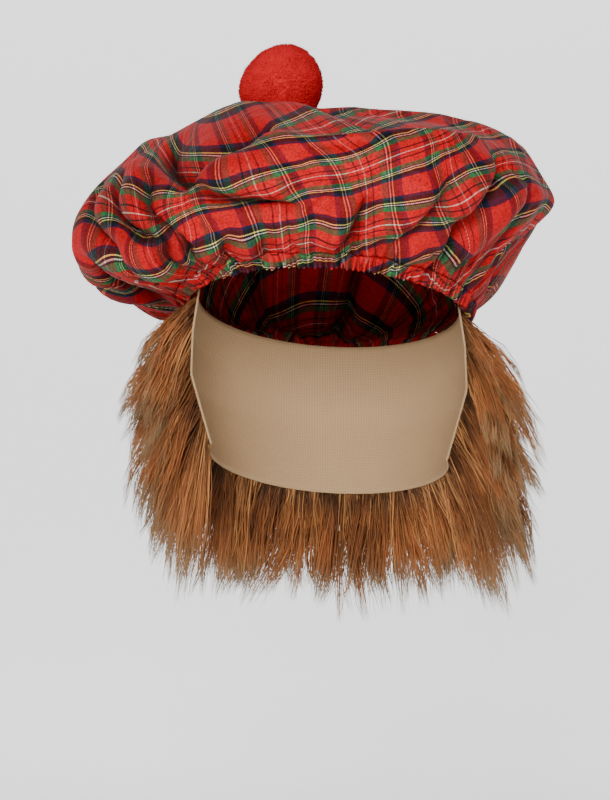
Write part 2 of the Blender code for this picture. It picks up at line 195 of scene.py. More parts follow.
# The stripes of the cloth, as places (azimuth, way) that a stripe of each number passes. A number counts
# whole repeats of the check, so a whole number is a white stripe. Weft numbers grow down the front, warp
# numbers grow towards +X.
WEFT = (
    (-1.25, ((292, 0.43), (310, 0.46), (324, 0.49))),
    (-0.75, ((302, 0.51), (315, 0.56), (3, 0.50), (28, 0.44))),
    (-0.25, ((291, 0.63), (308, 0.66), (286, 0.54), (298, 0.55), (312, 0.59), (318, 0.63), (334, 0.62))),
    (-0.25, ((344, 0.59), (354, 0.57), (12, 0.52), (20, 0.49))),
    (0.0, ((288, 0.66), (303, 0.72), (309, 0.73), (306, 0.62), (344, 0.65), (354, 0.63), (6, 0.62))),
    (0.0, ((14, 0.59), (28, 0.53))),
    (0.25, ((291, 0.69), (298, 0.70), (306, 0.76), (312, 0.79), (310, 0.68), (318, 0.68))),
    (0.25, ((326, 0.67), (339, 0.66), (354, 0.67), (2, 0.69), (9, 0.67), (15, 0.64), (24, 0.61), (36, 0.55))),
    (0.75, ((296, 0.76), (302, 0.78), (302, 0.90), (296, 0.94), (320, 0.81), (326, 0.81))),
    (0.75, ((339, 0.80), (346, 0.80), (354, 0.78), (2, 0.78), (8, 0.80), (12, 0.74), (22, 0.70), (30, 0.67))),
    (0.75, ((34, 0.62), (46, 0.56))),
    (1.0, ((297, 0.81), (303, 0.88), (321, 0.89), (328, 0.88), (339, 0.93), (352, 0.86))),
    (1.0, ((4, 0.90), (10, 0.83), (18, 0.79), (28, 0.76), (36, 0.66), (50, 0.59), (60, 0.56), (70, 0.57))),
    (1.25, ((278, 0.96), (315, 0.99), (334, 0.99), (351, 0.97), (6, 0.94))),
    (1.25, ((10, 0.89), (20, 0.85), (27, 0.81), (42, 0.73), (48, 0.68), (51, 0.61), (58, 0.63), (72, 0.65))),
    (1.75, ((27, 0.96), (30, 0.90), (40, 0.88), (70, 0.70), (64, 0.76), (58, 0.83), (56, 0.90))),
    (2.0, ((60, 0.92), (66, 0.84), (93, 0.75))),
    (2.25, ((84, 0.84), (102, 0.75))),
    (0.0, ((278, 0.60),)),
    (0.55, ((278, 0.75),)),
    (0.8, ((278, 0.92),)),
    (-0.6, ((264, 0.60),)),
    (-0.25, ((264, 0.75),)),
    (-0.1, ((264, 0.92),)),
)
WARP = (
    (-2.75, ((297, 0.70), (297, 0.78), (292, 0.86))),
    (-2.25, ((300, 0.59), (304, 0.67), (304, 0.85))),
    (-1.75, ((310, 0.71),)),
    (-1.25, ((300, 0.50), (315, 0.78), (308, 0.92))),
    (-0.75, ((315, 0.42), (315, 0.51), (324, 0.66), (327, 0.75), (322, 0.90), (318, 0.99))),
    (-0.25, ((330, 0.46), (333, 0.63), (338, 0.73), (339, 0.80), (334, 0.94))),
    (0.0, ((339, 0.57), (346, 0.72), (346, 0.79), (345, 0.88))),
    (0.25, ((344, 0.54), (350, 0.64), (352, 0.72), (354, 0.79), (352, 0.95))),
    (0.75, ((350, 0.49), (358, 0.57), (3, 0.68), (3, 0.81), (4, 0.93))),
    (1.0, ((356, 0.48), (10, 0.83))),
    (1.25, ((2, 0.49), (14, 0.52), (14, 0.59), (16, 0.73), (20, 0.86), (24, 0.92))),
    (1.75, ((27, 0.52), (27, 0.71), (33, 0.84), (42, 0.89))),
    (2.25, ((34, 0.54), (36, 0.62), (45, 0.74))),
    (2.75, ((57, 0.37),)),
    (3.0, ((63, 0.39),)),
    (3.25, ((69, 0.55), (60, 0.60))),
    (-3.1, ((278, 0.62),)),
    (-3.6, ((278, 0.80),)),
    (-3.9, ((278, 0.94),)),
    (-3.5, ((264, 0.62),)),
    (-4.1, ((264, 0.80),)),
    (-4.5, ((264, 0.94),)),
)
# Where the cloth lies as it was cut, these places take their numbers from a flat round of it.
CUT_WAYS = (
    (0.12, range(0, 360, 90)),
    (0.35, (130, 160, 190)),
    (0.60, (110, 132, 154, 176)),
    (0.85, (120, 142, 164, 186)),
    (1.00, (125, 145, 165, 185)),
)
CUT_TURN = 12.0
CUT_SEAT = (1.1, -2.3)
CUT_SHARE = 0.95
CUT_SLACK = 0.02  # how loosely the smooth sheet of numbers is tied to those places
STRIPE_SLACK = 0.004  # and to the stripes
LOOSE_SLACK = 8.0  # times more at the sides and the top, where folds hide part of the cloth
LOOSE_MIDDLE, LOOSE_TURN, LOOSE_WAY = 12.0, 53.0, 0.5
PLATE_CHUNK = 4000

# The check from halfway between two whole numbers, at 0, to a whole number, at 1: where each colour starts.
STRIPES = (
    (0.0, "red"), (0.28, "navy"), (0.355, "black"), (0.458, "yellow"), (0.484, "black"), (0.520, "white"),
    (0.546, "black"), (0.576, "green"), (0.689, "red"), (0.854, "black"), (0.884, "red"), (0.986, "white"),
)
WEFT_SHARE = 0.45  # how much of the weft shows on the face of the cloth in a rib's hollow
WEFT_GAIN = 0.40  # and how much more on its crest
MIXING_CURVE = 3.0


def number(name, description, default):
    return bpy.props.IntProperty(name=name, description=description, default=default)


def length(name, description, default):
    return bpy.props.FloatProperty(name=name, description=description, default=default, unit="LENGTH")


def colour(name, description, *default):
    return bpy.props.FloatVectorProperty(name=name, description=description, default=default, subtype="COLOR")


class DressSettings(bpy.types.PropertyGroup):
    """Sizes and colours of the cloth, the wool and the pile."""

    sett: length("Check repeat", "Width of one whole repeat of the check", 0.05)
    thread: length("Twill rib", "Width of one rib of the twill", 0.0009)
    cloth: length("Cloth thickness", "Thickness of the crown's cloth", 0.0006)
    crown_columns: number("Crown columns", "Faces round the crown", 480)
    crown_rows: number("Crown rows", "Faces from the seat to the hem", 88)
    hem_columns: number("Hem columns", "Faces round the hem", 1080)
    tufts: number("Tufts", "Tufts of wool on the pompom", 17000)
    strands: number("Strands", "Strands of pile in all", 25000)
    red: colour("Red", "Ground colour of the cloth", 0.47, 0.0035, 0.0055)
    navy: colour("Navy", "Broad dark stripe", 0.008, 0.007, 0.034)
    green: colour("Green", "Broad green stripe", 0.026, 0.130, 0.040)
    black: colour("Black", "Narrow dark stripes", 0.005, 0.004, 0.006)
    yellow: colour("Yellow", "Narrow yellow stripe", 0.92, 0.76, 0.140)
    white: colour("White", "Narrow white stripes", 0.76, 0.63, 0.53)
    wool: colour("Wool", "Colour of the pompom", 0.50, 0.0062, 0.0105)
    # Painted shade: the colour that darkens the pile towards its roots.
    fur_root_shade: colour("Root shade", "Pile at its roots", 0.050, 0.019, 0.007)
    fur_mid: colour("Pile", "Pile along its length", 0.29, 0.090, 0.025)
    fur_light: colour("Lit pile", "The lightest strands", 0.52, 0.225, 0.072)
    fur_tip: colour("Tips", "Pile at its tips", 0.32, 0.23, 0.115)
    knit: colour("Knit", "The pile's knitted backing", 0.50, 0.315, 0.155)


# ---- the crown's surface, for arrays of azimuth and way


def smooth(share):
    share = np.clip(share, 0.0, 1.0)
    return share * share * (3.0 - 2.0 * share)


def unit(rows, spare=0.0):
    return rows / (np.linalg.norm(rows, axis=-1, keepdims=True) + spare)


def turned(azimuth, start):
    """The turn from a start to an azimuth, between -180 and 180 degrees."""
    return (azimuth - start + 180.0) % 360.0 - 180.0


def compass(azimuth):
    """The level direction of an azimuth."""
    angle = np.radians(azimuth)
    return np.stack([np.sin(angle), -np.cos(angle), np.zeros_like(angle)], -1)


def round_table(column, azimuth):
    """A column of SECTIONS at any azimuth, on a smooth closed curve through its rows."""
    count = len(SECTIONS)
    place = (azimuth / (360.0 / count)) % count
    first = np.floor(place).astype(int)
    share = place - first
    a, b, c, d = (SECTIONS[(first + k) % count, column] for k in (-1, 0, 1, 2))
    return b + 0.5 * share * (c - a + share * (2 * a - 5 * b + 4 * c - d + share * (3 * (b - c) + d - a)))


def rim_point(azimuth, out=0.0):
    """The head opening's edge, or a place so far out from it."""
    angle = np.radians(azimuth)
    x = (HEAD_WIDTH / 2 + out) * np.sin(angle)
    y = -(HEAD_DEPTH / 2 + out) * np.cos(angle)
    return np.stack([x, y, -RIM_CLIMB * y - RIM_LEAN * x], -1)


def crown_base(azimuth, way):
    """The crown's smooth surface."""
    azimuth, way = np.broadcast_arrays(np.asarray(azimuth, float), np.asarray(way, float))
    out = compass(azimuth)
    up = np.array((0.0, 0.0, 1.0))
    points = [np.broadcast_to(CROWN_SEAT, out.shape)]
    for ring in range(4):
        middle = CROWN_SEAT * (1, 1, 0) if ring == 0 else np.zeros(3)
        reach = round_table(2 * ring, azimuth)[..., None]
        height = round_table(2 * ring + 1, azimuth)[..., None]
        points.append(middle + reach * out + height * up)
    points.append(rim_point(azimuth))
    slopes = [(points[k + 1] - points[k - 1]) / (KNOTS[k + 1] - KNOTS[k - 1]) for k in range(1, 5)]
    slopes.insert(0, (points[1] - points[0]) / KNOTS[1] * (1, 1, 0))
    last = (points[-1] - points[-2]) / (KNOTS[-1] - KNOTS[-2])
    slopes.append(last * (RIM_TUCK, RIM_TUCK, 0) - RIM_FALL * up)
    points, slopes = np.stack(points), np.stack(slopes)
    k = np.clip(np.searchsorted(KNOTS, way, side="right") - 1, 0, len(KNOTS) - 2)
    span = (KNOTS[k + 1] - KNOTS[k])[..., None]
    s = ((way - KNOTS[k])[..., None]) / span

    def pick(rows, k):
        return np.take_along_axis(rows, k[None, ..., None], 0)[0]

    return (
        pick(points, k) * (1 + 2 * s) * (1 - s) ** 2
        + pick(slopes, k) * span * s * (1 - s) ** 2
        + pick(points, k + 1) * s * s * (3 - 2 * s)
        - pick(slopes, k + 1) * span * s * s * (1 - s)
    )


def crown_reach(azimuth, way):
    """How far each place of the crown is from the upright axis."""
    base = crown_base(azimuth, way)
    return np.hypot(base[..., 0], base[..., 1])


def crown_normal(azimuth, way):
    way = np.clip(way, 0.02, 0.995)
    along = crown_base(azimuth, way + WAY_STEP) - crown_base(azimuth, way - WAY_STEP)
    across = crown_base(azimuth + TURN_STEP, way) - crown_base(azimuth - TURN_STEP, way)
    return unit(np.cross(along, across))


def beside_fold(fold, azimuth, way, radius):
    """Where each place lies by a fold: the fold's run and length on the cloth, how many of its widths the
    place is to its side, and how much of the fold is left towards its ends."""
    here = np.stack([np.radians(turned(azimuth, fold.azimuth_a)) * radius, (way - fold.way_a) * MERIDIAN])
    climb = (fold.way_b - fold.way_a) * MERIDIAN
    run = np.stack([np.radians(turned(fold.azimuth_b, fold.azimuth_a)) * radius, climb + 0 * radius])
    length = np.hypot(*run)
    share = (here * run).sum(0) / length**2
    side = (run[0] * here[1] - run[1] * here[0]) / (length * fold.width)
    return run, length, side, smooth(share / FOLD_FADE) * smooth((1.0 - share) / FOLD_FADE)


def fold_relief(azimuth, way, radius):
    """How far the folds lift or sink the cloth, and how close each place is to the bottom of one."""
    relief, deep = np.zeros_like(azimuth), np.zeros_like(azimuth)
    for fold in FOLDS:
        _, _, side, ends = beside_fold(fold, azimuth, way, radius)
        valley = VALLEY_CREASE * np.exp(-VALLEY_SHARPNESS * np.abs(side)) + VALLEY_ROUND * np.exp(-(side**2))
        lip = fold.lip * np.exp(-((side - LIP_ASIDE) ** 2))
        relief += ends * (lip - fold.depth * valley)
        deep += ends * np.exp(-SHADE_SHARPNESS * np.abs(side)) * fold.depth / SHADE_FOLD
    return relief, deep


def fold_slide(azimuth, way, radius):
    """Where the cloth of a place goes when the lips of the folds slide over their valleys."""
    to_azimuth, to_way = azimuth.copy(), way.copy()
    for fold in FOLDS:
        run, length, side, ends = beside_fold(fold, azimuth, way, radius)
        slide = -FOLD_SLIDE * fold.depth * ends * np.exp(-((side - SLIDE_ASIDE) ** 2) / SLIDE_BREADTH)
        to_azimuth += np.degrees(slide * -run[1] / length / np.maximum(radius, 0.02))
        to_way += slide * run[0] / length / MERIDIAN
    return to_azimuth, np.minimum(to_way, np.maximum(way, 0.999))


def gather_relief(azimuth, way):
    angle = np.radians(azimuth)
    relief = np.zeros_like(azimuth)
    for gather in GATHERS:
        rise = smooth((way - gather.start) / (1.0 - gather.start))
        relief += rise * gather.height * np.sin(gather.count * angle + gather.phase)
    return relief


def ridge_relief(azimuth, way):
    """The sharp edges where the top of the crown turns over to its front."""
    relief = np.zeros_like(azimuth)
    for azimuths, ways, height, width in RIDGES:
        turn = turned(azimuth, azimuths[0])
        run = [turned(place, azimuths[0]) for place in azimuths]
        ends = smooth((turn - run[0]) / RIDGE_FADE) * smooth((run[-1] - turn) / RIDGE_FADE)
        relief += height * ends * np.exp(-np.abs(way - np.interp(turn, run, ways)) * MERIDIAN / width)
    return relief


def swell_relief(azimuth, way):
    relief = np.zeros_like(azimuth)
    for swell in SWELLS:
        turn = turned(azimuth, swell.azimuth)
        relief += swell.height * np.exp(-((turn / swell.turn) ** 2) - ((way - swell.way) / swell.reach) ** 2)
    return relief


def hem_creases():
    """The small creases: azimuth, the way at which each starts, depth and width."""
    chance = np.random.default_rng(5)
    creases = []
    azimuth = 0.0
    while azimuth < 358.0:
        pitch = np.interp(abs(turned(azimuth, 0.0)), CREASE_TURNS, CREASE_PITCHES)
        start = chance.uniform(0.74, 0.92)
        depth = pitch * chance.uniform(0.16, 0.38)
        creases.append((azimuth, start, depth, pitch * chance.uniform(0.22, 0.36)))
        azimuth += math.degrees(pitch * chance.uniform(0.7, 1.3) / HEM_RADIUS)
    return creases


def crease_relief(azimuth, way, radius):
    """How far the small creases sink the cloth. Each leans a little to one side, by a number of its own."""
    relief = np.zeros_like(azimuth)
    for place, start, depth, width in hem_creases():
        lean = (place * 7.3 % 1.0 - 0.5) * CREASE_LEAN * (1.0 - way)
        side = np.abs(np.radians(turned(azimuth - place, lean)) * radius) / width
        rise = smooth((way - start) / (1.0 - start) * CREASE_RISE)
        relief -= rise * depth * np.exp(-CREASE_SHARPNESS * side)
    return relief


def crown_point(azimuth, way, lift=0.0):
    """The crown's cloth with all its folds, gathers and creases."""
    azimuth, way = np.broadcast_arrays(np.asarray(azimuth, float), np.asarray(way, float))
    radius = crown_reach(azimuth, way)
    relief = FOLD_FORCE * fold_relief(azimuth, way, radius)[0] + gather_relief(azimuth, way) + lift
    relief = relief + crease_relief(azimuth, way, radius)
    relief = relief + ridge_relief(azimuth, way) + swell_relief(azimuth, way)
    azimuth, way = fold_slide(azimuth, way, radius)
    return crown_base(azimuth, way) + crown_normal(azimuth, way) * relief[..., None]


def painted_shade_mask(azimuth, way):
    """How deep each place lies in a fold or a crease, from 0 to 1: how strongly the painted shade darkens it
    there.
    """
    radius = crown_reach(azimuth, way)
    deep = fold_relief(azimuth, way, radius)[1] - crease_relief(azimuth, way, radius) / SHADE_CREASE
    return np.clip(deep, 0.0, 1.0)


def hem_way(azimuth, height):
    """The way of a place so high above the hem's edge, measured along the cloth."""
    near = 0.03
    speed = np.linalg.norm(crown_base(azimuth, 1.0) - crown_base(azimuth, 1.0 - near), axis=-1) / near
    return 1.0 - height / speed


# ---- where the check's stripes run


def spread(azimuth, way):
    """The place of a point of the cloth when the crown is pressed flat, in shares of its radius."""
    angle = np.radians(azimuth)
    return np.stack([way * np.sin(angle), -way * np.cos(angle)], -1)


def plate(places, others):
    """How much each other place's load bends a thin plate at each place."""
    gap = ((places[:, None, :] - others[None, :, :]) ** 2).sum(-1)
    return 0.5 * gap * np.log(gap + 1e-12)


def plate_through(places, values, slack):
    """The smoothest plate that passes close to the values: its loads and its plane."""
    count = len(places)
    board = np.zeros((count + 3, count + 3))
    board[:count, :count] = plate(places, places) + np.diag(slack)
    board[:count, count] = board[count, :count] = 1.0
    board[:count, count + 1 :] = places
    board[count + 1 :, :count] = places.T
    return np.linalg.solve(board, np.concatenate([values, np.zeros(3)]))


class Check:
    """The cloth's own measure across the crown, in repeats of the check."""

    def __init__(self, sett):
        radius = MERIDIAN / sett * CUT_SHARE
        self.sheets = []
        for rows, seat, part in ((WARP, CUT_SEAT[0], np.sin), (WEFT, CUT_SEAT[1], np.cos)):
            places, values, slack = [], [], []
            for value, spots in rows:
                for azimuth, way in spots:
                    loose = abs(turned(azimuth, LOOSE_MIDDLE)) > LOOSE_TURN or way < LOOSE_WAY
                    places.append(spread(azimuth, way))
                    values.append(value)
                    slack.append(STRIPE_SLACK * (LOOSE_SLACK if loose else 1.0))
            for way, azimuths in CUT_WAYS:
                for azimuth in azimuths:
                    places.append(spread(azimuth, way))
                    values.append(seat + radius * way * part(math.radians(azimuth - CUT_TURN)))
                    slack.append(CUT_SLACK)
            places = np.array(places)
            self.sheets.append((places, plate_through(places, np.array(values), slack)))

    def at(self, azimuth, way):
        flat = spread(azimuth.ravel(), way.ravel())
        found = []
        for places, solved in self.sheets:
            parts = [
                plate(chunk, places) @ solved[:-3] + solved[-3] + chunk @ solved[-2:]
                for chunk in np.array_split(flat, max(1, len(flat) // PLATE_CHUNK))
            ]
            found.append(np.concatenate(parts).reshape(azimuth.shape))
        return np.stack(found, -1)


# ---- shared making


def start_clean():
    if bpy.context.object and bpy.context.object.mode != "OBJECT":
        bpy.ops.object.mode_set(mode="OBJECT")
    bpy.ops.object.select_all(action="DESELECT")


def make_piece(name, places, faces, material, **maps):
    """A piece from rows of places and of faces' corners, with maps that follow its surface."""
    mesh = bpy.data.meshes.new(name)
    mesh.from_pydata(places.tolist(), [], faces)
    corners = np.empty(len(mesh.loops), dtype=np.int32)
    mesh.loops.foreach_get("vertex_index", corners)
    for map_name, uv in maps.items():
        layer = mesh.uv_layers.new(name=map_name)
        layer.data.foreach_set("uv", uv[corners].astype(np.float32).ravel())
    mesh.materials.append(material)
    mesh.validate()
    mesh.shade_smooth()
    obj = bpy.data.objects.new(name, mesh)
    bpy.context.scene.collection.objects.link(obj)
    return obj


def give_wall(obj, thickness, offset=-1.0):
    """Gives a sheet its thickness."""
    start_clean()
    bpy.context.view_layer.objects.active = obj
    obj.select_set(True)
    wall = obj.modifiers.new("wall", "SOLIDIFY")
    wall.thickness = thickness
    wall.offset = offset
    bpy.ops.object.modifier_apply(modifier=wall.name)


def grid_faces(rows, columns, first=0, closed=True):
    """Four-sided faces of a grid of places, closed round its columns or open."""
    faces = []
    for row in range(rows - 1):
        for column in range(columns if closed else columns - 1):
            after = (column + 1) % columns
            upper, lower = first + row * columns, first + (row + 1) * columns
            faces.append((upper + column, lower + column, lower + after, upper + after))
    return faces


def make_tufts(paths, girths, chance, number=None):
    """Tapered three-sided tufts along paths of shape (tufts, points, 3), each closed at root and tip. The map
    holds a chance number for each tuft and the share along it."""
    count, points = paths.shape[:2]
    along = unit(np.gradient(paths, axis=1), 1e-12)
    side = unit(np.cross(along, chance.normal(size=(count, 1, 3))), 1e-12)
    other = np.cross(along, side)
    rings, sides = points - 1, 3
    places = np.empty((count, rings * sides + 1, 3))
    for corner in range(sides):
        angle = 2.0 * math.pi * corner / sides
        edge = side[:, :rings] * math.cos(angle) + other[:, :rings] * math.sin(angle)
        places[:, corner : rings * sides : sides] = paths[:, :rings] + edge * girths[:, :rings, None]
    places[:, -1] = paths[:, -1]
    faces = [(2, 1, 0)]
    for a, b, c, d in grid_faces(rings, sides):
        faces += [(a, d, c), (a, c, b)]
    tip = rings * sides
    faces += [(tip - sides + corner, tip - sides + (corner + 1) % sides, tip) for corner in range(sides)]
    faces = np.array(faces)[None] + np.arange(count)[:, None, None] * (tip + 1)
    share = np.append(np.repeat(np.arange(rings), sides), rings) / rings
    number = np.repeat(chance.random(count) if number is None else number, tip + 1)
    uv = np.stack([number, np.tile(share, count)], -1)
    return places.reshape(-1, 3), faces.reshape(-1, 3).tolist(), uv


def doubled(field, closed):
    """A field of places with one more between each two along its first axis, on a smooth curve."""
    if closed:
        before, after, later = (np.roll(field, shift, axis=0) for shift in (1, -1, -2))
    else:
        padded = np.concatenate([field[:1], field, field[-1:], field[-1:]])
        before, after, later = padded[:-3], padded[2:-1], padded[3:]
    between = (9.0 * (field + after) - before - later) / 16.0
    out = np.stack([field, between], 1).reshape(-1, *field.shape[1:])
    return out if closed else out[:-1]


def buckle(places, columns):
    """How slack cloth buckles between its seat and its hem: a simulation on a coarse crown, given as the
    shift of each of its places. Row 0 is the seat and the last row is the hem."""
    rows = len(places) // columns
    cloth = make_piece("slack_cloth", places, grid_faces(rows, columns), None)
    held = cloth.vertex_groups.new(name="held")
    top, bottom = range(3 * columns), range((rows - 2) * columns, len(places))
    held.add([*top, *bottom], 1.0, "REPLACE")
    modifier = cloth.modifiers.new("cloth", "CLOTH")
    settings = modifier.settings
    settings.vertex_group_mass = "held"
    settings.quality = 6
    settings.mass = 0.12
    settings.tension_stiffness = settings.compression_stiffness = 25.0
    settings.shear_stiffness = 8.0
    settings.bending_stiffness = BUCKLE_STIFFNESS
    settings.air_damping = 2.0
    settings.shrink_min = -BUCKLE_SLACK
    settings.use_pressure = True
    settings.uniform_pressure_force = BUCKLE_PRESSURE
    settings.effector_weights.gravity = 0.0
    modifier.point_cache.frame_start = 1
    modifier.point_cache.frame_end = BUCKLE_FRAMES
    scene = bpy.context.scene
    for frame_number in range(1, BUCKLE_FRAMES + 1):
        scene.frame_set(frame_number)
    moved = np.empty(len(places) * 3)
    cloth.evaluated_get(bpy.context.evaluated_depsgraph_get()).data.vertices.foreach_get("co", moved)
    scene.frame_set(1)
    mesh = cloth.data
    bpy.data.objects.remove(cloth)
    bpy.data.meshes.remove(mesh)
    shift = moved.reshape(-1, 3) - places
    reach = np.linalg.norm(shift, axis=1, keepdims=True)
    return shift * np.minimum(1.0, BUCKLE_CAP / np.maximum(reach, 1e-9))


# ---- materials


class Wire:
    """What comes out of a node. Arithmetic on it adds Math nodes to the same material."""

    def __init__(self, tree, socket=None):
        self.tree = tree
        self.socket = socket

    def node(self, kind, settings=None, inputs=None, out=0):
        """Adds a node of a kind, sets its settings and its sockets' values or links, and gives one output."""
        node = self.tree.nodes.new("ShaderNode" + kind)
        for name, value in (settings or {}).items():
            if name == "stops":
                ramp = node.color_ramp
                ramp.elements[0].position = value[0][0]
                ramp.elements[0].color = (*value[0][1], 1.0)
                ramp.elements.remove(ramp.elements[1])
                for place, colour in value[1:]:
                    ramp.elements.new(place).color = (*colour, 1.0)
            elif name == "interpolation":
                node.color_ramp.interpolation = value
            else:
                setattr(node, name, value)
        for name, value in (inputs or {}).items():
            if isinstance(value, Wire):
                self.tree.links.new(value.socket, node.inputs[name])
            else:
                node.inputs[name].default_value = value
        return Wire(self.tree, node.outputs[out])

    def math(self, operation, a, b=0.0):
        return self.node("Math", {"operation": operation}, {0: a, 1: b})

    def __add__(self, other):
        return self.math("ADD", self, other)

    __radd__ = __add__

    def __sub__(self, other):
        return self.math("SUBTRACT", self, other)

    def __rsub__(self, other):
        return self.math("SUBTRACT", other, self)

    def __mul__(self, other):
        return self.math("MULTIPLY", self, other)

    __rmul__ = __mul__

    def __truediv__(self, other):
        return self.math("DIVIDE", self, other)

    def pingpong(self, scale):
        return self.math("PINGPONG", self, scale)

    def step(self, low, high):
        """0 below low and 1 above high."""
        return self.node("MapRange", {"interpolation_type": "SMOOTHSTEP"}, {0: self, 1: low, 2: high})

    def parts(self):
        """The first two numbers of a place."""
        apart = self.node("SeparateXYZ", None, {0: self})
        return apart, Wire(self.tree, apart.socket.node.outputs[1])

    def map(self, name):
        """The two numbers of one of the piece's maps."""
        return self.node("UVMap", {"uv_map": name}).parts()

    def cloud(self, scale, detail, **more):
        """Noise at this place."""
        return self.node("TexNoise", None, {"Vector": self, "Scale": scale, "Detail": detail, **more})

    def bump(self, strength, distance, **under):
        """This height as a bump, over another one if it is given."""
        return self.node("Bump", None, {"Strength": strength, "Distance": distance, "Height": self, **under})

    def mix(self, a, b, blend="MIX"):
        """Colour a where this is 0, and colour b where it is 1."""
        a, b = (c if isinstance(c, Wire) else (*c, 1.0) for c in (a, b))
        return self.node("Mix", {"data_type": "RGBA", "blend_type": blend}, {0: self, 6: a, 7: b}, out=2)


def new_material(name):
    """A material, the wire that starts its nodes, and its shader."""
    material = bpy.data.materials.new(name)
    material.use_nodes = True
    return material, Wire(material.node_tree), material.node_tree.nodes["Principled BSDF"]


def link(wire, shader, socket):
    wire.tree.links.new(wire.socket, shader.inputs[socket])


def shade(tone, amount):
    return tuple(min(1.0, channel * amount) for channel in tone)


def finish(shader, tone, roughness, specular, normal=None):
    link(tone, shader, "Base Color")
    link(roughness, shader, "Roughness")
    shader.inputs["Specular IOR Level"].default_value = specular
    if normal:
        link(normal, shader, "Normal")


def tartan_material(name, settings):
    """A fine twill in a traditional red check. Each thread keeps its own stripe's colour, so stripes that
    cross show some of each."""
    material, start, shader = new_material(name)
    # Threads are mixed as the eye sees them, on a curve, so that a dark thread tells among bright ones.
    stops = [(place, [channel ** (1.0 / MIXING_CURVE) for channel in getattr(settings, tone)])
             for place, tone in STRIPES]
    across, down = start.map("setts")
    threads = []
    for measure in (across, down):
        stripe = 1.0 - 2.0 * measure.pingpong(0.5)
        threads.append(stripe.node("ValToRGB", {"interpolation": "CONSTANT", "stops": stops}, {0: stripe}))
    rib = ((across + down) * (settings.sett / settings.thread)).pingpong(0.5) * 2.0
    here = start.node("TexCoord", out=3)
    slub, worn = here.cloud(800.0, 2.0), here.cloud(28.0, 3.0)
    mixed = (WEFT_SHARE + WEFT_GAIN * rib).mix(*threads)
    woven = start.node("Gamma", None, {"Color": mixed, "Gamma": MIXING_CURVE})
    dim = (0.55 * slub.step(0.40, 0.66)).mix(woven, (0.30, 0.26, 0.26), "MULTIPLY")
    aged = (0.30 * worn.step(0.40, 0.72)).mix(dim, (0.62, 0.55, 0.56), "MULTIPLY")
    # Painted shade: the bottoms of the folds, the creases and the hem's ruffles are darkened, as shade falls
    # in them.
    hollow, _ = start.map("hollow")
    shaded = (0.95 * hollow).mix(aged, (0.14, 0.12, 0.14), "MULTIPLY")
    creased = start.node("TexNoise", {"noise_type": "RIDGED_MULTIFRACTAL"},
                         {"Vector": here, "Scale": 34.0, "Detail": 2.0, "Offset": 1.0, "Gain": 2.0,
                          "Distortion": 0.6})
    fine = rib.bump(0.35, 0.00012)
    soft = here.cloud(75.0, 3.0, Roughness=0.45).bump(0.55, 0.0022, Normal=fine)
    finish(shader, shaded, 0.62 + 0.16 * worn, 0.12, creased.bump(0.45, 0.0016, Normal=soft))
    return material


def wool_material(settings):
    """Dense felted wool, darker between its tufts with painted shade."""
    material, start, shader = new_material("pompom_wool")
    number, along = start.map("tuft")
    matted = start.node("TexCoord", out=3).cloud(130.0, 3.0)
    wool = settings.wool
    # Painted shade: each tuft darkens towards its root, deep between the tufts.
    base = along.step(0.1, 0.9).mix(shade(wool, 0.75), wool)
    varied = (number * 0.5).mix(base, shade(wool, 1.20))
    clotted = (0.3 * matted.step(0.40, 0.65)).mix(varied, shade(wool, 0.70))
    finish(shader, clotted, 0.80 + 0.15 * number, 0.2, matted.bump(0.4, 0.0008))
    return material


def fur_material(settings):
    """Long pile: dark at its roots with painted shade, orange-brown along its length and thin and greyer at
    its tips.
    """
    material, start, shader = new_material("fur_pile")
    number, along = start.map("tuft")
    swathe = start.node("TexCoord", out=3).cloud(26.0, 2.0)
    # Painted shade: the pile darkens towards its roots, which the strands over them hide from the light.
    body = along.step(0.02, 0.50).mix(settings.fur_root_shade, settings.fur_mid)
    varied = number.step(0.35, 1.0).mix(body, settings.fur_light)
    banded = (0.70 * swathe.step(0.47, 0.64)).mix(varied, shade(settings.fur_mid, 0.40))
    tipped = (0.80 * along.step(0.62, 1.0)).mix(banded, settings.fur_tip)
    finish(shader, tipped, 0.58 + 0.14 * swathe, 0.22)
    return material


def knit_material(settings):
    """The pile's tan knitted backing, in ribs of loops."""
    material, start, shader = new_material("knit_backing")
    across, down = start.map("setts")
    rib = (across / 0.0018).pingpong(0.5)
    loop = ((down / 0.0016) + rib * 0.8).pingpong(0.5)
    worn = start.node("TexCoord", out=3).cloud(60.0, 3.0)
    looped = (2.0 * loop * rib * 2.0).mix(shade(settings.knit, 0.62), settings.knit)
    aged = (0.35 * worn).mix(looped, shade(settings.knit, 0.6))
    finish(shader, aged, 0.78 + 0.12 * worn, 0.5, (rib + loop).bump(0.6, 0.0004))
    return material


# ---- the pieces


class DressOperator:
    """What the operators share."""

    bl_options = {"REGISTER", "UNDO"}

    @property
    def settings(self):
        return bpy.context.scene.tam_dress


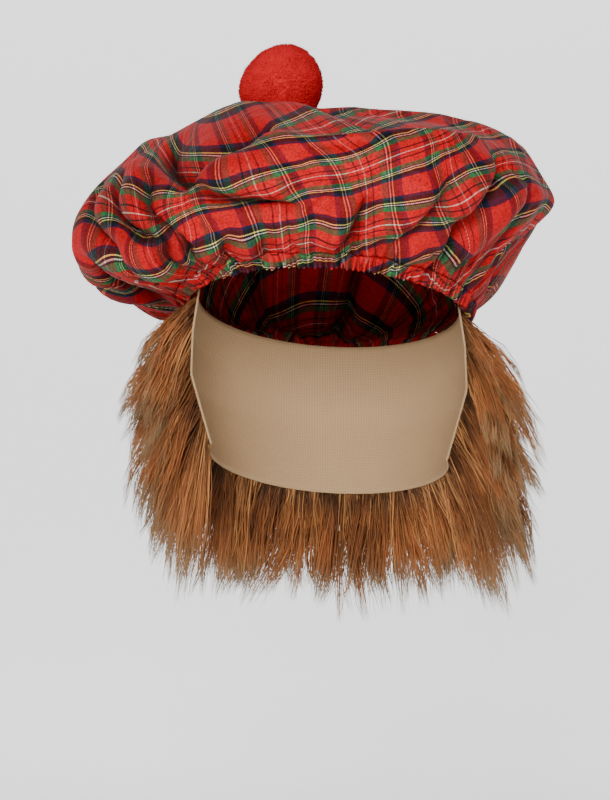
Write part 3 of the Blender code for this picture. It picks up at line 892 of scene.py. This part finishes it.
class TAM_OT_crown(DressOperator, bpy.types.Operator):
    """Puffed tartan crown, gathered in to the hem"""

    bl_idname = "tam.crown"
    bl_label = "Crown"

    def execute(self, context):
        start_clean()
        s = self.settings
        columns, rows = s.crown_columns, s.crown_rows
        azimuth = np.linspace(0.0, 360.0, columns, endpoint=False)[None, :]
        share = (np.arange(1, rows + 1) / rows)[:, None] ** ROW_CURVE
        way = hem_way(azimuth, HEM_HEIGHT + GAP) * share
        azimuth = np.broadcast_to(azimuth, way.shape)
        places = crown_point(azimuth, way)
        # The coarse crown has every second row and column, and a small ring round the seat as its row 0.
        out = compass(azimuth[0, ::2])
        coarse = np.concatenate([np.broadcast_to(CROWN_SEAT, places[:1].shape), places[1::2]])[:, ::2]
        coarse[0] += out * 0.001
        shift = buckle(coarse.reshape(-1, 3), columns // 2).reshape(coarse.shape)
        # The crown keeps its outline, so what the cloth moves out on average round each row is taken off.
        shift -= (shift * out).sum(-1).mean(1)[:, None, None] * out
        shift[..., 2] -= shift[..., 2].mean(1, keepdims=True)
        shift = doubled(shift.transpose(1, 0, 2), True).transpose(1, 0, 2)
        places += doubled(shift, False)[1:]
        places = np.vstack([CROWN_SEAT[None], places.reshape(-1, 3)])
        check = Check(s.sett)
        setts = np.vstack([check.at(np.zeros(1), np.zeros(1)), check.at(azimuth, way).reshape(-1, 2)])
        faces = [(0, 1 + c, 1 + (c + 1) % columns) for c in range(columns)]
        faces += grid_faces(rows, columns, first=1)
        # How much painted shade darkens each place, in the folds and creases.
        deep = np.append(0.0, painted_shade_mask(azimuth, way).ravel())
        crown = make_piece("crown_cloth", places, faces, tartan_material("crown_tartan", s),
                           setts=setts, hollow=np.stack([deep, deep], -1))
        give_wall(crown, s.cloth)
        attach(crown, "root")
        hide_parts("crown")
        return {"FINISHED"}


# The hem's ruffles, about 3.4 mm apart, and a slower wave: their counts round it, how far they stand out, and
# how far they move its lower edge up and down.
RUFFLE_COUNT, RUFFLE_WAVE = 168, 61
RUFFLE_HEIGHT, RUFFLE_EDGE = 0.0011, 0.0007


class TAM_OT_hem(DressOperator, bpy.types.Operator):
    """Ruffled hem, folded over its elastic"""

    bl_idname = "tam.hem"
    bl_label = "Gathered hem"

    def execute(self, context):
        start_clean()
        s = self.settings
        columns = s.hem_columns
        azimuth = np.linspace(0.0, 360.0, columns, endpoint=False)
        angle = np.radians(azimuth)
        # Rows down the outside, round the lower edge and up the inside: their share of the way down, and how
        # far each lies out from the crown's cloth.
        outer, turn, inner = 12, 5, 7
        shares = [*np.linspace(0, 1, outer), *np.full(turn, 1.0), *np.linspace(0.95, 0.05, inner)]
        lifts = [*(0.0007 * np.sin(np.linspace(0.3, math.pi - 0.2, outer)) + 0.0003),
                 *np.linspace(0.0001, -0.0013, turn), *np.full(inner, -0.0018)]
        # The ruffles are uneven in pitch and in height, and almost flat on the inside.
        uneven = np.array([noise.noise(Vector((a * 3.1, 7.0, 0.0))) for a in angle.tolist()])
        ruffle = np.sin(RUFFLE_COUNT * angle + 3.2 * uneven) * (0.80 + 0.55 * uneven)
        ruffle += 0.45 * np.sin(RUFFLE_WAVE * angle + 1.0)
        places, setts, hollow = [], [], []
        check = Check(s.sett)
        for row, (share, lift) in enumerate(zip(shares, lifts)):
            height = HEM_HEIGHT * (1.0 - share) - RUFFLE_EDGE * ruffle * smooth((share - 0.5) / 0.5)
            way = hem_way(azimuth, height)
            amount = RUFFLE_HEIGHT * (0.25 + 0.75 * share) if row < outer + turn else 0.0002
            places.append(crown_point(azimuth, way, lift + amount * ruffle))
            setts.append(check.at(azimuth, way) + np.stack([0.02 * ruffle, 0.012 * ruffle], -1))
            # Painted shade in the ruffles' hollows, stronger towards the hem's lower edge.
            deep = np.clip(0.25 - 0.55 * ruffle, 0.0, 1.0) * (0.4 + 0.6 * share)
            hollow.append(np.stack([deep, deep], -1))
        faces = grid_faces(len(shares), columns)
        last = (len(shares) - 1) * columns
        faces += [(last + c, c, (c + 1) % columns, last + (c + 1) % columns) for c in range(columns)]
        hem = make_piece("hem_ruffle", np.vstack(places), faces, tartan_material("hem_tartan", s),
                         setts=np.vstack(setts), hollow=np.vstack(hollow))
        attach(hem, "root")
        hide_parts("gathered_hem")
        return {"FINISHED"}


# Where the pompom is fuller or flatter than a ball: direction, height, and how narrow the place is.
Bump = namedtuple("Bump", "direction height sharpness")
POMPOM_BUMPS = (
    Bump((0.42, -0.3, 0.85), 0.0012, 6.0),
    Bump((-0.70, -0.3, 0.62), -0.0018, 5.0),
    Bump((-0.93, -0.2, -0.25), 0.0014, 5.0),
    Bump((0.90, -0.3, -0.35), -0.0016, 5.0),
    Bump((0.1, -0.9, -0.2), 0.0008, 4.0),
    Bump((0.2, 0.9, 0.3), 0.0008, 4.0),
)
POMPOM_CORE = 0.0022  # how far its core lies inside that form
TUFT_LENGTH = 0.0040
TUFT_GIRTHS = (0.00054, 0.00046, 0.0)


def pompom_reach(directions):
    """How far the pompom's form is from its middle in each direction."""
    radius = np.full(len(directions), POMPOM_RADIUS)
    for bump in POMPOM_BUMPS:
        toward = np.array(bump.direction) / np.linalg.norm(bump.direction)
        radius += bump.height * np.exp(bump.sharpness * (directions @ toward - 1.0))
    return radius


def lumps(directions, scale):
    """Small unevenness of the ball, as heights."""
    return 0.0005 * np.array([noise.noise(Vector(d) * scale) for d in directions.tolist()])


class TAM_OT_pompom(DressOperator, bpy.types.Operator):
    """Dense woollen ball on the crown's seat"""

    bl_idname = "tam.pompom"
    bl_label = "Pompom"

    def execute(self, context):
        start_clean()
        s = self.settings
        chance = np.random.default_rng(11)
        middle = CROWN_SEAT + (0.0, 0.0, POMPOM_RADIUS + GAP)
        wool = wool_material(s)
        bpy.ops.mesh.primitive_ico_sphere_add(subdivisions=5, radius=1.0, location=(0, 0, 0))
        core = bpy.context.object
        directions = np.array([v.co[:] for v in core.data.vertices])
        radius = pompom_reach(directions) - POMPOM_CORE + lumps(directions, 6.0)
        core.data.vertices.foreach_set("co", (middle + directions * radius[:, None]).ravel())
        core.data.uv_layers[0].name = "tuft"
        # The core takes the wool's colour at 0.7 of a tuft's length, so a little of the painted shade at the
        # tufts' roots.
        values = np.tile((0.3, 0.7), len(core.data.loops))
        core.data.uv_layers[0].data.foreach_set("uv", values.astype(np.float32))
        core.data.materials.append(wool)
        core.data.shade_smooth()

        # Tufts on a golden spiral from the top of the ball to its foot, each a little off and bent.
        count = s.tufts
        turn = np.arange(count) * math.pi * (3.0 - math.sqrt(5.0))
        height = 1.0 - 2.0 * (np.arange(count) + 0.5) / count
        ring = np.sqrt(1.0 - height**2)
        directions = np.stack([ring * np.cos(turn), ring * np.sin(turn), height], -1)
        directions = unit(directions + chance.normal(scale=0.012, size=directions.shape))
        outer = pompom_reach(directions) - GAP + lumps(directions, 5.0)
        outer += chance.normal(scale=0.00025, size=count)
        inner = outer - TUFT_LENGTH
        lean = chance.normal(scale=0.13, size=directions.shape)
        tips = unit(directions + lean)
        bend = unit(directions + 0.35 * lean)
        paths = np.stack(
            [directions * inner[:, None], bend * (0.45 * inner + 0.55 * outer)[:, None],
             (0.75 * directions + 0.25 * tips) * outer[:, None]], 1
        )
        girths = np.tile(TUFT_GIRTHS, (count, 1)) * chance.uniform(0.8, 1.3, (count, 1))
        places, faces, uv = make_tufts(paths + middle, girths, chance)
        tufts = make_piece("pompom_wool", places, faces, wool, tuft=uv)
        start_clean()
        core.select_set(True)
        tufts.select_set(True)
        bpy.context.view_layer.objects.active = tufts
        bpy.ops.object.join()
        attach(tufts, "root")
        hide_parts("pompom")
        return {"FINISHED"}


def backing_point(azimuth, drop):
    """A place of the hair's backing, so far below the hem's fold."""
    point = rim_point(azimuth, np.interp(drop, HANG_DROPS, HANG_OUTS))
    point[..., 2] = rim_point(azimuth)[..., 2] + HEM_HEIGHT * 0.5 - drop
    return point


BACKING_COLUMNS, BACKING_ROWS = 204, 30
BACKING_WALL = 0.0012


class TAM_OT_backing(DressOperator, bpy.types.Operator):
    """Knitted backing of the hair, hung inside the hem"""

    bl_idname = "tam.backing"
    bl_label = "Hair backing"

    def execute(self, context):
        start_clean()
        columns, rows = BACKING_COLUMNS, BACKING_ROWS
        azimuth = np.linspace(HAIR_START, HAIR_END, columns)[None, :]
        azimuth, drop = np.broadcast_arrays(azimuth, np.linspace(0.0, HAIR_DROP, rows)[:, None])
        uv = np.stack([np.radians(azimuth) * 0.09, drop], -1).reshape(-1, 2)
        backing = make_piece("hair_backing", backing_point(azimuth, drop).reshape(-1, 3),
                             grid_faces(rows, columns, closed=False), knit_material(self.settings), setts=uv)
        give_wall(backing, BACKING_WALL, 0.0)
        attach(backing, "root")
        return {"FINISHED"}


# The pile's lean off the backing at each drop: degrees from straight down at +X, at the back and at -X, and
# its length.
PILE_DROPS = (0.004, 0.018, 0.037, 0.059, 0.083, 0.092)
PILE_RIGHT = (72, 66, 58, 52, 46, 42)
PILE_BACK = (62, 52, 42, 30, 18, 8)
PILE_LEFT = (78, 70, 54, 42, 36, 32)
PILE_LENGTHS = (0.054, 0.068, 0.084, 0.094, 0.102, 0.108)
# What changes by the strip's ends, and within how many degrees of them: the pile leans out less, and sideways
# over the ends, at +X and at -X.
PILE_END_DROP, PILE_END_REACH = 0.50, 13.0
PILE_SPLAY, SPLAY_REACH = (-0.55, 0.25), 14.0
# How far the pile stands out sideways at each height, to +X and to -X, and how low it hangs at each place
# across.
REACH_HEIGHTS = (-0.200, -0.176, -0.150, -0.133, -0.115, -0.087, -0.076, -0.043, -0.028, -0.012, 0.000)
REACH_RIGHT = (0.116, 0.124, 0.126, 0.127, 0.128, 0.132, 0.135, 0.123, 0.115, 0.107, 0.093)
REACH_LEFT = (0.092, 0.099, 0.106, 0.110, 0.114, 0.118, 0.122, 0.134, 0.131, 0.120, 0.102)
HANG_ACROSS = (-0.110, -0.096, -0.084, -0.071, -0.040, 0.040, 0.067, 0.085, 0.098, 0.111, 0.122)
HANG_DEPTHS = (-0.176, -0.184, -0.182, -0.178, -0.190, -0.192, -0.186, -0.182, -0.180, -0.190, -0.196)
REACH_START = 0.070  # within this of the middle the pile's sideways reach isn't held in
DEPTH_START = 0.110  # and above this its depth isn't
FUR_POINTS = 5


def pile_paths(azimuth, drop, reach, lean, sway, droop):
    """Paths of strands from roots on the backing. Reach is a strand's share of the pile's length, lean turns
    it out, in degrees, sway leans it sideways, and droop is the share of its lean that it loses along it."""
    turn = (azimuth - 180.0) / 90.0
    back, left, right = (np.interp(drop, PILE_DROPS, leans) for leans in (PILE_BACK, PILE_LEFT, PILE_RIGHT))
    lift = back + (np.where(turn > 0, left, right) - back) * smooth(np.abs(turn)) + lean
    # By the strip's ends the pile hangs straighter down.
    end = np.minimum(azimuth - HAIR_START, HAIR_END - azimuth)
    lift = np.radians(lift * (1.0 - PILE_END_DROP * np.exp(-end / PILE_END_REACH)))
    out = compass(azimuth)
    across = np.stack([-out[:, 1], out[:, 0], out[:, 2]], -1)
    place = backing_point(azimuth, drop) + out * 0.0004
    step = np.interp(drop, PILE_DROPS, PILE_LENGTHS) * reach / (FUR_POINTS - 1)
    paths = [place]
    for k in range(FUR_POINTS - 1):
        share = k / (FUR_POINTS - 1)
        bent = (lift * (1.0 - droop * share))[:, None]
        along = out * np.sin(bent) + across * (sway * (0.25 + 0.75 * share))[:, None]
        along[:, 2] -= np.cos(bent[:, 0])
        place = place + unit(along) * step[:, None]
        paths.append(place)
    return np.stack(paths, 1)


def held_in(amount, limit, start):
    """An amount eased towards a limit that it would pass. Up to the start it stays as it is."""
    easing = 0.75
    room = np.maximum(limit - start, 1e-4)
    share = (amount - start) / room
    rest = 1.0 - easing
    eased = np.where(share > easing, easing + rest * np.tanh((share - easing) / rest), share)
    return np.where(share > 0, start + eased * room, amount)


def pile_limits(x, z, slack):
    """How far the pile may reach sideways and how low it may hang at each place. Slack lets each strand pass
    that a little or stay short of it."""
    right, left = (np.interp(z, REACH_HEIGHTS, reach) for reach in (REACH_RIGHT, REACH_LEFT))
    lowest = np.interp(x, HANG_ACROSS, HANG_DEPTHS) * (0.4 + 0.6 * slack)
    return np.where(x > 0, right, left) * slack, lowest


def trim_pile(paths, slack):
    """Eases the pile in to its outline."""
    x, z = paths[..., 0].copy(), paths[..., 2].copy()
    reach, lowest = pile_limits(x, z, slack)
    paths[..., 0] = np.where(x > 0, 1.0, -1.0) * held_in(np.abs(x), reach, REACH_START)
    paths[..., 2] = -held_in(-z, -lowest, DEPTH_START)
    return paths


def cut_pile(paths, slack):
    """Ends each strand where it would pass the outline."""
    last = FUR_POINTS - 1
    rows = np.arange(len(paths))
    x, z = paths[..., 0], paths[..., 2]
    reach, lowest = pile_limits(x, z, slack)
    over = np.maximum(np.abs(x) - reach, lowest - z)
    first = np.where((over > 0).any(1), (over > 0).argmax(1), last)
    before = np.maximum(first - 1, 0)
    low, high = over[rows, before], over[rows, first]
    end = before + np.where(high > 0, -low / np.maximum(high - low, 1e-9), 1.0)
    place = np.linspace(0, 1, FUR_POINTS) * np.clip(end, 0.8, last)[:, None]
    k = np.minimum(place.astype(int), last - 1)
    share = (place - k)[..., None]
    return paths[rows[:, None], k] * (1.0 - share) + paths[rows[:, None], k + 1] * share


def clear_backing(paths):
    """Moves the pile off the backing where a lock would lie through it."""
    x, y, z = paths[..., 0], paths[..., 1], paths[..., 2]
    azimuth = np.degrees(np.arctan2(x / HEAD_WIDTH, -y / HEAD_DEPTH)) % 360
    drop = rim_point(azimuth)[..., 2] + HEM_HEIGHT * 0.5 - z
    room = ((paths - backing_point(azimuth, np.clip(drop, 0.0, HAIR_DROP))) * compass(azimuth)).sum(-1)
    short = np.clip(0.0012 - room, 0.0, 0.02) * (drop < HAIR_DROP + 0.002)
    short[:, 0] = 0.0
    return paths + compass(azimuth) * short[..., None]


def scatter(count, start):
    """Evenly scattered roots on the backing: azimuth and drop."""
    steps = np.arange(count)
    azimuth = HAIR_START + 0.5 + (HAIR_END - HAIR_START - 1.0) * ((start + steps * 0.6180339) % 1.0)
    return azimuth, 0.003 + 0.0885 * (steps + 0.5) / count


def nearest(azimuth, drop, roots):
    """For each place of the backing, which root is the closest."""
    gap = ((azimuth[:, None] - roots[0]) * 0.0016) ** 2 + (drop[:, None] - roots[1]) ** 2
    return gap.argmin(1)


LOCKS, TUFTS = 150, 1300
FUR_GIRTH = 0.00033
SHORT_SHARE = 0.22  # of the strands
FRIZZY_SHARE = 0.22  # and these lie across the others
PASSING_SHARE = 0.02  # and these pass the outline a little
# The pieces of the pile, and from which azimuth to which each one goes.
QUARTERS = (("right", 0.0, 122.0), ("back_right", 122.0, 180.0), ("back_left", 180.0, 238.0),
            ("left", 238.0, 360.0))


class TAM_OT_fur(DressOperator, bpy.types.Operator):
    """Long pile of the hair, in locks"""

    bl_idname = "tam.fur"
    bl_label = "Fur"

    def execute(self, context):
        start_clean()
        chance = np.random.default_rng(23)
        material = fur_material(self.settings)
        along = np.linspace(0, 1, FUR_POINTS)[None, :, None]

        # Locks, the smaller tufts within them, and the strands of each tuft. A shape is reach, lean, sway
        # and droop.
        locks = scatter(LOCKS, 0.1)
        shape = [chance.uniform(0.80, 1.12, LOCKS), chance.normal(0, 9.0, LOCKS),
                 chance.uniform(-0.45, 0.45, LOCKS)
                 + PILE_SPLAY[0] * np.exp((HAIR_START - locks[0]) / SPLAY_REACH)
                 + PILE_SPLAY[1] * np.exp((locks[0] - HAIR_END) / SPLAY_REACH),
                 chance.uniform(0.60, 0.95, LOCKS)]
        lock_slack = chance.uniform(0.95, 1.04, LOCKS)
        lock_paths = pile_paths(*locks, *shape)

        tufts = scatter(TUFTS, 0.6)
        lock = nearest(*tufts, locks)
        shape = [part[lock] for part in shape]
        shape[0] = shape[0] * chance.uniform(0.72, 1.10, TUFTS)
        shape[1] = shape[1] + chance.normal(0, 8.0, TUFTS)
        shape[2] = shape[2] + chance.normal(0, 0.20, TUFTS)
        shape[3] = np.clip(shape[3] + chance.normal(0, 0.20, TUFTS), 0.2, 1.0)
        tuft_paths = pile_paths(*tufts, *shape)
        tuft_paths += (lock_paths[lock] - tuft_paths) * (0.40 * along**1.2)
        tuft_paths += chance.normal(0, 0.0018, tuft_paths.shape) * along
        tuft_slack = lock_slack[lock] * chance.uniform(0.80, 1.05, TUFTS)
        tuft_paths = cut_pile(trim_pile(tuft_paths, tuft_slack[:, None] * 1.04), tuft_slack[:, None])

        count = self.settings.strands
        tuft = np.arange(count) % TUFTS
        shape = [part[tuft] for part in shape]
        azimuth = tufts[0][tuft] + chance.normal(0, 1.9, count)
        drop = tufts[1][tuft] + chance.normal(0, 0.0030, count)
        azimuth = np.clip(azimuth, HAIR_START + 0.3, HAIR_END - 0.3)
        drop = np.clip(drop, 0.003, HAIR_DROP - 0.0005)
        short = np.where(chance.random(count) < SHORT_SHARE, chance.uniform(0.30, 0.65, count), 1.0)
        wild = chance.random(count) < FRIZZY_SHARE
        shape[0] = shape[0] * chance.uniform(0.85, 1.03, count) * short
        shape[1] = shape[1] + chance.normal(0, 7.0, count)
        shape[2] = shape[2] + chance.normal(0, 0.30, count)
        paths = pile_paths(azimuth, drop, *shape)
        pull = (0.98 * along**0.8) * chance.uniform(0.78, 1.06, (count, 1, 1))
        pull = pull * np.where(wild, 0.75, short)[:, None, None]
        paths += (tuft_paths[tuft] - paths) * np.clip(pull, 0.0, 0.98)
        frizz = np.where(wild, 0.0030, 0.0007)[:, None, None] * along**0.7
        paths += chance.normal(0, 1.0, paths.shape) * frizz
        slack = np.where(chance.random(count) < PASSING_SHARE, 1.05, 1.0) * tuft_slack[tuft]
        paths = clear_backing(cut_pile(paths, slack[:, None]))
        girths = FUR_GIRTH * (1.0 - 0.70 * along[..., 0] ** 1.8) * chance.uniform(0.7, 1.3, (count, 1))

        tone = 0.50 * chance.random(TUFTS)[tuft] + 0.35 * chance.random(count) + 0.20 * wild
        pieces = []
        for name, start, end in QUARTERS:
            chosen = (tufts[0][tuft] >= start) & (tufts[0][tuft] < end)
            places, faces, uv = make_tufts(paths[chosen], girths[chosen], chance, tone[chosen])
            fur = make_piece("fur_" + name, places, faces, material, tuft=uv)
            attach(fur, "root")
            pieces.append(fur)
        for piece in (bpy.data.objects["hair_backing"], *pieces):
            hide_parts("hair")
        return {"FINISHED"}


# The floor: how far it goes to the front and the sides, where it bends up behind, how round, and how high.
FLOOR_LEVEL = -0.40
FLOOR_REACH, FLOOR_BEND, FLOOR_RADIUS, FLOOR_TOP = 12.0, 1.4, 1.0, 4.0
# The lamps: name, place, size and power.
LAMPS = (
    ("key", (-0.32, -2.15, 0.66), 0.6, 71.0),
    ("fill", (1.5, -1.6, 0.5), 1.2, 5.0),
    ("back", (0.3, 1.0, 1.6), 1.0, 5.0),
)
VIEW_TARGET = Vector((-0.0142, 0.0, -0.0522))
VIEW_DISTANCE = 1.8
VIEW_HEIGHT = 800 * 0.0006  # the image's rows, each of them 0.6 mm high at the hat
VIEW_RISE = math.radians(2.0)


def aim(obj, target):
    """Turns a lamp or a camera to a target, and puts it in the scene."""
    obj.rotation_euler = (target - obj.location).to_track_quat("-Z", "Y").to_euler()
    bpy.context.scene.collection.objects.link(obj)


class TAM_OT_stage(DressOperator, bpy.types.Operator):
    """Pale floor, soft lights and the camera"""

    bl_idname = "tam.stage"
    bl_label = "Stage"

    def execute(self, context):
        start_clean()
        # A floor that sweeps up behind in one piece.
        profile = [(-FLOOR_REACH, FLOOR_LEVEL)]
        for k in range(13):
            angle = math.pi / 2 * k / 12
            profile.append((FLOOR_BEND + FLOOR_RADIUS * math.sin(angle),
                            FLOOR_LEVEL + FLOOR_RADIUS * (1.0 - math.cos(angle))))
        profile.append((FLOOR_BEND + FLOOR_RADIUS, FLOOR_TOP))
        places = np.array([(x, y, z) for y, z in profile for x in (-FLOOR_REACH, FLOOR_REACH)])
        faces = [(2 * k, 2 * k + 1, 2 * k + 3, 2 * k + 2) for k in range(len(profile) - 1)]
        material, start, shader = new_material("pale_floor")
        here = start.node("TexCoord", out=3)
        link(here.cloud(1.5, 1.0).mix((0.93, 0.93, 0.93), (0.96, 0.96, 0.96)), shader, "Base Color")
        shader.inputs["Roughness"].default_value = 0.9
        # It glows behind the hat, and only faintly beneath it.
        _, depth = here.parts()
        link(depth.step(0.1, 0.9).mix((0.30, 0.30, 0.30), (1.0, 1.0, 1.0)), shader, "Emission Color")
        shader.inputs["Emission Strength"].default_value = 0.9
        floor = make_piece("pale_floor", places, faces, material)
        floor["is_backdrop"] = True

        world = bpy.data.worlds.new("soft_studio")
        world.use_nodes = True
        # Bright at the horizon, where it runs on from the floor, and dim overhead.
        sky = Wire(world.node_tree)
        rise = sky.node("SeparateXYZ", None, {0: sky.node("TexCoord", out=0)}, out=2)
        glow = rise.step(0.02, 0.35).mix((0.80, 0.80, 0.80), (0.12, 0.12, 0.12))
        link(glow, world.node_tree.nodes["Background"], "Color")
        bpy.context.scene.world = world
        for name, place, size, power in LAMPS:
            lamp = bpy.data.lights.new(name, "AREA")
            lamp.size = size
            lamp.energy = power
            light = bpy.data.objects.new(name, lamp)
            light.location = place
            aim(light, Vector((0.0, 0.0, 0.0)))

        lens = bpy.data.cameras.new("camera")
        lens.sensor_fit = "VERTICAL"
        lens.angle = 2.0 * math.atan(VIEW_HEIGHT / 2 / VIEW_DISTANCE)
        lens.clip_end = 20.0
        camera = bpy.data.objects.new("camera", lens)
        toward = Vector((0.0, -math.cos(VIEW_RISE), math.sin(VIEW_RISE)))
        camera.location = VIEW_TARGET + toward * VIEW_DISTANCE
        aim(camera, VIEW_TARGET)
        bpy.context.scene.camera = camera
        return {"FINISHED"}


class TAM_PT_dress(bpy.types.Panel):
    """The pieces of the hat, in the order in which they are made"""

    bl_idname = "TAM_PT_dress"
    bl_label = "Tam o shanter"
    bl_space_type = "VIEW_3D"
    bl_region_type = "UI"
    bl_category = "Tam"

    def draw(self, context):
        layout = self.layout
        for operator in OPERATORS:
            layout.operator(operator.bl_idname)
        for name in DressSettings.__annotations__:
            layout.prop(context.scene.tam_dress, name)


OPERATORS = (TAM_OT_crown, TAM_OT_hem, TAM_OT_pompom, TAM_OT_backing, TAM_OT_fur, TAM_OT_stage)
CLASSES = (DressSettings, *OPERATORS, TAM_PT_dress)


def register():
    for cls in CLASSES:
        bpy.utils.register_class(cls)
    bpy.types.Scene.tam_dress = bpy.props.PointerProperty(type=DressSettings)


def unregister():
    del bpy.types.Scene.tam_dress
    for cls in reversed(CLASSES):
        bpy.utils.unregister_class(cls)


def main():
    register()
    bpy.ops.tam.crown()
    bpy.ops.tam.hem()
    bpy.ops.tam.pompom()
    bpy.ops.tam.backing()
    bpy.ops.tam.fur()
    bpy.ops.tam.stage()
    boxes = {"cad": CAD_BOX, "visual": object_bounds()}
    boxes = {name: [[float(v) for v in corner] for corner in box] for name, box in boxes.items()}


if __name__ == "__main__":
    main()
